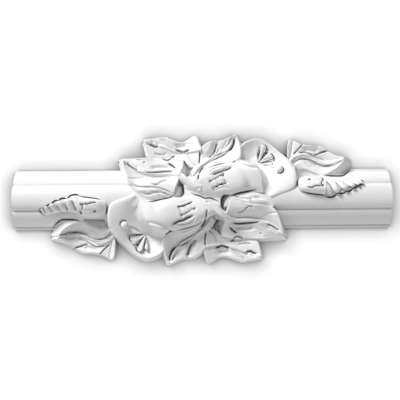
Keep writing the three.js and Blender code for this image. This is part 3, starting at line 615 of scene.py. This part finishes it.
CREASES = [
    ([(28, -0.9, 20), (33.7, 1.8, 17), (40.7, 3.5, 17), (47.6, 4.7, 18), (54, 6.2, 21)], 1.7),
    ([(124, 22, 8), (129, 21.4, 7.5), (134, 21.2, 7.5), (141.5, 21.4, 7), (147, 24.6, 4.5),
      (151.5, 28.4, 2)], 2),
    ([(100, 3.9, 21), (105.4, 2, 19.5), (112.3, 0.9, 19), (119, 0, 19), (122.5, -0.8, 20)], 1.3),
    ([(122, -0.8, 20), (125.3, -2.2, 19), (130.3, -1.8, 18.5), (133.3, 0.4, 19), (135.3, 2.4, 20)], 1.8),
    ([(134.5, 2, 20), (138.3, 1.3, 18.5), (141.3, 1.9, 18.5), (143.3, 4, 20)], 1.8),
    ([(142.5, 3.4, 20), (146.3, 3.5, 18.5), (148.8, 5, 18.5), (150.4, 7.2, 19.5)], 1.8),
    ([(149.6, 6.4, 19.5), (153.2, 7.5, 18), (155.7, 8.8, 18), (157.9, 10.6, 18)], 1.7),
    ([(156.5, 10.3, 18), (160.2, 10.9, 17), (162.8, 11.6, 16), (161.8, 14.4, 14.5),
      (158, 17.8, 14.5)], 1.6),
    ([(125.6, 13.8, 18.5), (126.4, 11.6, 20), (127.6, 8.8, 23.2), (129.6, 3.7, 24.6),
      (130.6, 1.4, 23)], 1.2),
    ([(134.3, 13.4, 18.5), (134.9, 11.6, 20), (136, 8.8, 23), (138.9, 4.6, 24), (139.6, 3, 22.5)], 1.2),
    ([(141.5, 13.5, 18.5), (142.4, 12, 20), (144.4, 9.5, 22.5), (146.9, 6.9, 23), (147.6, 5.6, 21.5)], 1.2),
    ([(148.4, 14.6, 18), (149.6, 13.2, 20), (151.4, 11.6, 21.6), (153.6, 9.4, 21.5)], 1.1),
]
CENTRE_CREASE = ([(-12, 4.2, 22), (-7.2, 1.4, 19), (-2.2, -0.3, 19), (1.7, -2.3, 18.5), (7.7, -2, 18.5),
                  (11.7, -3.6, 19), (15.5, -5.2, 22)], 1.5)
HOLLOW_TOP = 40
POCKET_STEPS = 6
CREASE_STEPS = 7
CREASE_END = 0.2
CREASE_OPENING = 3
WALL_DEPTH = 100
SHARP_EDGE = 40


def turned_copy(obj):
    copy = obj.copy()
    copy.data = obj.data.copy()
    copy.data.transform(Matrix.Rotation(math.pi, 4, "Y"))
    bpy.context.scene.collection.objects.link(copy)
    return copy


def block_over(high, deep):
    """A block on the ruled floor between two lines, which reaches past the front of the casting."""
    floor = np.vstack([high, deep])
    top = floor.copy()
    top[:, 2] = HOLLOW_TOP
    steps = len(high)
    n = 2 * steps
    strip = np.arange(steps - 1)
    quads = np.stack([strip, strip + 1, strip + 1 + steps, strip + steps], axis=-1)
    ring = np.concatenate([np.arange(steps), np.arange(n - 1, steps - 1, -1)])
    walls = np.stack([ring, ring + n, np.roll(ring, -1) + n, np.roll(ring, -1)], axis=-1)
    faces = quads.tolist() + (quads[:, ::-1] + n).tolist() + walls.tolist()
    return mesh_object("hollow", np.vstack([floor, top]), faces)


def pocket(high, deep):
    """A hollow whose floor falls from one line to the other, both of x, z and height."""
    share = np.linspace(0, 1, POCKET_STEPS * len(high))
    return block_over(smooth(high, share), smooth(deep, share))


def crease(line, width):
    """A narrow cut along a line of x, z and floor height, tapered towards both ends."""
    share = np.linspace(0, 1, CREASE_STEPS * len(line))
    path = smooth(line, share)
    along = np.gradient(path[:, :2], axis=0)
    across = np.stack([-along[:, 1], along[:, 0], np.zeros(len(path))], axis=-1)
    across /= np.hypot(*along.T)[:, None]
    opening = np.minimum(1, CREASE_END + CREASE_OPENING * np.minimum(share, 1 - share))
    half = (width / 2 * opening)[:, None]
    return block_over(path + across * half, path - across * half)


def behind_wall():
    depth = WALL_DEPTH * MM
    bpy.ops.mesh.primitive_cube_add(size=1, location=(0, depth / 2, 0), scale=(1, depth, 1))
    box = bpy.context.object
    bpy.context.view_layer.update()
    box.data.transform(box.matrix_world)
    box.matrix_world = Matrix()
    return box


second = turned_copy(spray)
merge(insert, spray)
merge(insert, second)
hollows = crease(*CENTRE_CREASE)
for hollow in [pocket(*lines) for lines in POCKETS] + [crease(*cut) for cut in CREASES]:
    merge(hollows, turned_copy(hollow))
    merge(hollows, hollow)
merge(insert, hollows, "DIFFERENCE")
merge(insert, behind_wall(), "DIFFERENCE")
insert.name = "primed_insert"
insert.data.polygons.foreach_set("use_smooth", [True] * len(insert.data.polygons))
insert.data.set_sharp_from_angle(angle=math.radians(SHARP_EDGE))
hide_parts("insert")
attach(insert, "root")


# The primer.
# Smooth factory-sprayed white primer over dense foam: a soft sheen, a fine orange peel and faint cloudy
# differences in thickness, with painted shade darkening the corners and creases. Sizes are in metres.
THIN_WHITE = (0.84, 0.84, 0.835)
THICK_WHITE = (0.875, 0.875, 0.87)
SPECK = (0.78, 0.78, 0.77)
# The dark grey of the painted shade in tight corners and creases.
CREASE_SHADE = (0.25, 0.25, 0.25)
CORNER_REACH = 0.006
CORNER_SAMPLES = 6


def mixed(nodes, links, mask, first, second):
    """The colour between two colours, or colour sockets, that the mask picks."""
    mix = nodes.new("ShaderNodeMix")
    mix.data_type = "RGBA"
    links.new(mask, mix.inputs["Factor"])
    sockets = [socket for socket in mix.inputs if socket.type == "RGBA"]
    for socket, colour in zip(sockets, (first, second)):
        if isinstance(colour, tuple):
            socket.default_value = (*colour, 1)
        else:
            links.new(colour, socket)
    return [socket for socket in mix.outputs if socket.type == "RGBA"][0]


def primer():
    material = bpy.data.materials.new("white primer")
    material.use_nodes = True
    nodes, links = material.node_tree.nodes, material.node_tree.links
    shader = nodes["Principled BSDF"]
    shader.inputs["Specular IOR Level"].default_value = 0.4
    place = nodes.new("ShaderNodeTexCoord")

    def noise(scale, detail, roughness):
        texture = nodes.new("ShaderNodeTexNoise")
        texture.inputs["Scale"].default_value = scale
        texture.inputs["Detail"].default_value = detail
        texture.inputs["Roughness"].default_value = roughness
        links.new(place.outputs["Object"], texture.inputs["Vector"])
        return texture.outputs["Fac"]

    def ranged(value, low, high, to_low, to_high):
        span = nodes.new("ShaderNodeMapRange")
        limits = {"From Min": low, "From Max": high, "To Min": to_low, "To Max": to_high}
        for socket, number in limits.items():
            span.inputs[socket].default_value = number
        links.new(value, span.inputs["Value"])
        return span.outputs["Result"]

    def bump(height, strength, distance):
        bumps = nodes.new("ShaderNodeBump")
        bumps.inputs["Strength"].default_value = strength
        bumps.inputs["Distance"].default_value = distance
        links.new(height, bumps.inputs["Height"])
        return bumps

    cloud = ranged(noise(scale=22, detail=4, roughness=0.55), 0.35, 0.65, 0, 1)
    speck = ranged(noise(scale=900, detail=2, roughness=0.6), 0.66, 0.8, 0, 0.5)
    # Painted shade: the ambient occlusion node darkens the colour towards a dark grey in tight corners and
    # creases.
    corner = nodes.new("ShaderNodeAmbientOcclusion")
    corner.samples = CORNER_SAMPLES
    corner.inputs["Distance"].default_value = CORNER_REACH
    painted_shade = ranged(corner.outputs["AO"], 0.12, 0.5, 0.85, 0)
    coat = mixed(nodes, links, speck, mixed(nodes, links, cloud, THIN_WHITE, THICK_WHITE), SPECK)
    links.new(mixed(nodes, links, painted_shade, coat, CREASE_SHADE), shader.inputs["Base Color"])
    sheen = ranged(noise(scale=60, detail=3, roughness=0.5), 0.3, 0.7, 0.42, 0.56)
    links.new(sheen, shader.inputs["Roughness"])
    waves = bump(noise(scale=120, detail=2, roughness=0.5), strength=0.35, distance=0.0006)
    peel = bump(noise(scale=1500, detail=2, roughness=0.5), strength=0.3, distance=0.0001)
    links.new(waves.outputs["Normal"], peel.inputs["Normal"])
    links.new(peel.outputs["Normal"], shader.inputs["Normal"])
    return material


insert.data.materials.clear()
insert.data.materials.append(primer())


# The backdrop, floor, light and camera.
# The insert hangs on a pale backdrop over a pale floor, under a soft light from the upper left, seen from a
# little below the level. The backdrop has a front only, so the back of the insert can be seen as well. It
# glows evenly, and near the insert its colour and glow are darkened as a painted contact shadow. Sizes are
# in metres.
BACKDROP_GAP = 0.0005
BACKDROP_GREY = 0.15
BACKDROP_GLOW = 5.9
# How far from the insert, and how strongly, the painted contact shadow darkens the backdrop.
SHADOW_REACH = 0.02
SHADOW_DEPTH = 1.8
FLOOR_LEVEL = -1.2
FLOOR_GREY = 0.65
ROOM_HALF = 3
FLOOR_HALF = 4
GRAIN_SHADE = 0.985
GRAIN_SCALE = 40
SHEET_ROUGHNESS = 0.9
WORLD_LIGHT = 0.24
CAMERA_DISTANCE = 0.9
CAMERA_FOCAL = 880
CAMERA_AZIMUTH = -0.6
CAMERA_ELEVATION = -9.0
CAMERA_ROLL = 0.54
CAMERA_MIDDLE = (202.25, 199.6)
SENSOR = 36
PICTURE = 400


def sheet(name, corners, grey, glow=0, front_only=False):
    mesh = bpy.data.meshes.new(name)
    mesh.from_pydata(corners, [], [(0, 1, 2, 3)])
    obj = bpy.data.objects.new(name, mesh)
    bpy.context.scene.collection.objects.link(obj)
    material = bpy.data.materials.new(name)
    material.use_nodes = True
    nodes, links = material.node_tree.nodes, material.node_tree.links
    paint = nodes["Principled BSDF"]
    paint.inputs["Roughness"].default_value = SHEET_ROUGHNESS
    paint.inputs["Emission Strength"].default_value = glow
    grain = nodes.new("ShaderNodeTexNoise")
    grain.inputs["Scale"].default_value = GRAIN_SCALE
    tint = mixed(nodes, links, grain.outputs["Fac"], (grey,) * 3, (grey * GRAIN_SHADE,) * 3)
    links.new(tint, paint.inputs["Base Color"])
    if front_only:
        # Painted shadow: near the insert the ambient occlusion node darkens the backdrop's colour and glow,
        # as its contact shadow.
        near = nodes.new("ShaderNodeAmbientOcclusion")
        near.inputs["Distance"].default_value = SHADOW_REACH
        deepen = nodes.new("ShaderNodeMath")
        deepen.operation = "POWER"
        deepen.inputs[1].default_value = SHADOW_DEPTH
        links.new(near.outputs["AO"], deepen.inputs[0])
        painted_contact_shadow = mixed(nodes, links, deepen.outputs["Value"], (0, 0, 0), tint)
        links.new(painted_contact_shadow, paint.inputs["Base Color"])
        links.new(painted_contact_shadow, paint.inputs["Emission Color"])
        side = nodes.new("ShaderNodeNewGeometry")
        clear = nodes.new("ShaderNodeBsdfTransparent")
        pick = nodes.new("ShaderNodeMixShader")
        links.new(side.outputs["Backfacing"], pick.inputs["Fac"])
        links.new(paint.outputs["BSDF"], pick.inputs[1])
        links.new(clear.outputs["BSDF"], pick.inputs[2])
        links.new(pick.outputs["Shader"], nodes["Material Output"].inputs["Surface"])
    mesh.materials.append(material)


sheet("backdrop", [(-ROOM_HALF, BACKDROP_GAP, FLOOR_LEVEL), (ROOM_HALF, BACKDROP_GAP, FLOOR_LEVEL),
                   (ROOM_HALF, BACKDROP_GAP, ROOM_HALF), (-ROOM_HALF, BACKDROP_GAP, ROOM_HALF)],
      BACKDROP_GREY, glow=BACKDROP_GLOW, front_only=True)
sheet("floor", [(-ROOM_HALF, -FLOOR_HALF, FLOOR_LEVEL), (ROOM_HALF, -FLOOR_HALF, FLOOR_LEVEL),
                (ROOM_HALF, FLOOR_HALF, FLOOR_LEVEL), (-ROOM_HALF, FLOOR_HALF, FLOOR_LEVEL)], FLOOR_GREY)


def lamp(name, place, size, power):
    """A round soft lamp that points at the middle of the insert."""
    light = bpy.data.lights.new(name, "AREA")
    light.shape = "DISK"
    light.size = size
    light.energy = power
    obj = bpy.data.objects.new(name, light)
    obj.location = place
    obj.rotation_euler = (-Vector(place)).to_track_quat("-Z", "Y").to_euler()
    bpy.context.scene.collection.objects.link(obj)


lamp("key light", place=(-1.1, -1.35, 1.5), size=0.9, power=54)
world = bpy.data.worlds.new("soft light")
world.use_nodes = True
world.node_tree.nodes["Background"].inputs["Color"].default_value = (1, 1, 1, 1)
world.node_tree.nodes["Background"].inputs["Strength"].default_value = WORLD_LIGHT
bpy.context.scene.world = world
bpy.context.scene.view_settings.view_transform = "Standard"

camera = bpy.data.cameras.new("camera")
camera.sensor_width = SENSOR
camera.lens = SENSOR * CAMERA_FOCAL / PICTURE
camera.shift_x = -(CAMERA_MIDDLE[0] - PICTURE / 2) / PICTURE
camera.shift_y = (CAMERA_MIDDLE[1] - PICTURE / 2) / PICTURE
camera_object = bpy.data.objects.new("camera", camera)
azimuth, elevation = math.radians(CAMERA_AZIMUTH), math.radians(CAMERA_ELEVATION)
towards = Vector((math.sin(azimuth) * math.cos(elevation), -math.cos(azimuth) * math.cos(elevation),
                  math.sin(elevation)))
camera_object.location = towards * CAMERA_DISTANCE
level = (-towards).to_track_quat("-Z", "Y").to_matrix()
camera_object.rotation_euler = (level @ Matrix.Rotation(-math.radians(CAMERA_ROLL), 3, "Z")).to_euler()
bpy.context.scene.collection.objects.link(camera_object)
bpy.context.scene.camera = camera_object
